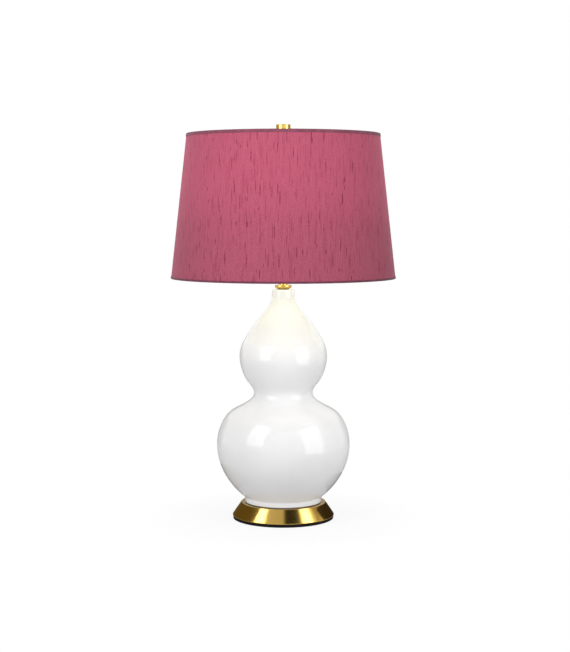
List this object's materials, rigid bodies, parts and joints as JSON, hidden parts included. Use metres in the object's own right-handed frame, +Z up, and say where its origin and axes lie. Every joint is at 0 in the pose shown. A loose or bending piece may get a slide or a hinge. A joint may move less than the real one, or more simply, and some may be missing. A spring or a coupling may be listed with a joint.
{
  "type": "table lamp",
  "caption": "Table lamp with a glazed double-gourd body on a brass plinth, and a tapered fabric drum shade carried on a harp under a screwed finial.",
  "frame": {"origin": "centre of the pad's underside, on the table", "axes": "+Z up along the lamp's axis, -Y towards the switch knob (front), +Y towards the cord inlet (back)"},
  "size_m": [0.3572, 0.3572, 0.6274],
  "materials": {
    "aged_brass": "satin",
    "contact_brass": "plain",
    "white_glaze": "glossy",
    "black_foam": "matte",
    "grey_rubber": "matte",
    "black_plastic": "satin",
    "zinc_steel": "plated",
    "nickel_plate": "polished",
    "black_phenolic": "moulded",
    "fibre_sleeve": "matte",
    "pink_slub_fabric": "slub",
    "dark_hem_fabric": "slub",
    "white_backing": "matte",
    "white_enamel_wire": "satin",
    "opal_globe": "frosted",
    "white_bulb_body": "gloss",
    "board_aluminium": "plain"
  },
  "bodies": {
    "lamp_stand": {"base_pad": "black_foam", "plinth_shell": "aged_brass", "cord_bushing": "black_plastic", "rod_washer": "zinc_steel", "rod_lock_washer": "zinc_steel", "rod_nut": "zinc_steel", "lamp_rod": "zinc_steel", "foot_gasket": "grey_rubber", "gourd_lower": "white_glaze", "gourd_upper": "white_glaze", "neck_gasket": "grey_rubber", "neck_cap": "aged_brass", "neck_riser": "aged_brass", "harp_saddle": "nickel_plate", "saddle_nut": "zinc_steel", "harp_bow": "nickel_plate", "harp_stud": "nickel_plate", "holder_cap": "aged_brass", "holder_grub_screw": "zinc_steel", "holder_core": "black_phenolic", "terminal_screws": "contact_brass", "centre_contact": "contact_brass", "screw_shell": "contact_brass", "holder_liner": "fibre_sleeve", "holder_shell": "aged_brass"},
    "shade": {"spider_hub": "white_enamel_wire", "spider_arms": "white_enamel_wire", "shade_top_ring": "white_enamel_wire", "shade_bottom_ring": "white_enamel_wire", "shade_liner": "white_backing", "shade_fabric": "pink_slub_fabric", "shade_top_trim": "dark_hem_fabric", "shade_bottom_trim": "dark_hem_fabric"},
    "finial_carriage": {"finial_base": "aged_brass"},
    "finial": {"finial_knob": "aged_brass"},
    "bulb_carriage": {"bulb_contact": "contact_brass", "bulb_insulator": "black_phenolic", "bulb_cap": "nickel_plate"},
    "bulb": {"bulb_housing": "white_bulb_body", "bulb_light_board": "board_aluminium", "bulb_globe": "opal_globe"},
    "left_lock": {"left_sleeve": "nickel_plate"},
    "right_lock": {"right_sleeve": "nickel_plate"},
    "switch": {"switch_shaft": "contact_brass", "switch_knob": "black_plastic"}
  },
  "joints": [
    {"name": "shade_turn", "type": "hinge", "parent": "lamp_stand", "child": "shade", "pos_m": [0, 0, 0.6085], "axis": [0, 0, 1], "continuous": true},
    {"name": "finial_lift", "type": "slide", "parent": "lamp_stand", "child": "finial_carriage", "axis": [0, 0, 1], "range_m": [0, 0.00945]},
    {"name": "finial_turn", "type": "hinge", "parent": "finial_carriage", "child": "finial", "pos_m": [0, 0, 0.618], "axis": [0, 0, 1], "range_deg": [0, 3600]},
    {"name": "bulb_lift", "type": "slide", "parent": "lamp_stand", "child": "bulb_carriage", "axis": [0, 0, 1], "range_m": [0, 0.02]},
    {"name": "bulb_turn", "type": "hinge", "parent": "bulb_carriage", "child": "bulb", "pos_m": [0, 0, 0.44932], "axis": [0, 0, 1], "range_deg": [0, 1980]},
    {"name": "left_sleeve_slide", "type": "slide", "parent": "lamp_stand", "child": "left_lock", "axis": [0, 0, 1], "range_m": [0, 0.014]},
    {"name": "right_sleeve_slide", "type": "slide", "parent": "lamp_stand", "child": "right_lock", "axis": [0, 0, 1], "range_m": [0, 0.014]},
    {"name": "switch_turn", "type": "hinge", "parent": "lamp_stand", "child": "switch", "pos_m": [0, -0.0241, 0.41184], "axis": [0, -1, 0], "continuous": true}
  ],
  "couplings": [
    {"joint": "finial_lift", "follows": "finial_turn", "m_per_rad": 0.00014961},
    {"joint": "bulb_lift", "follows": "bulb_turn", "m_per_rad": 0.00057614}
  ]
}
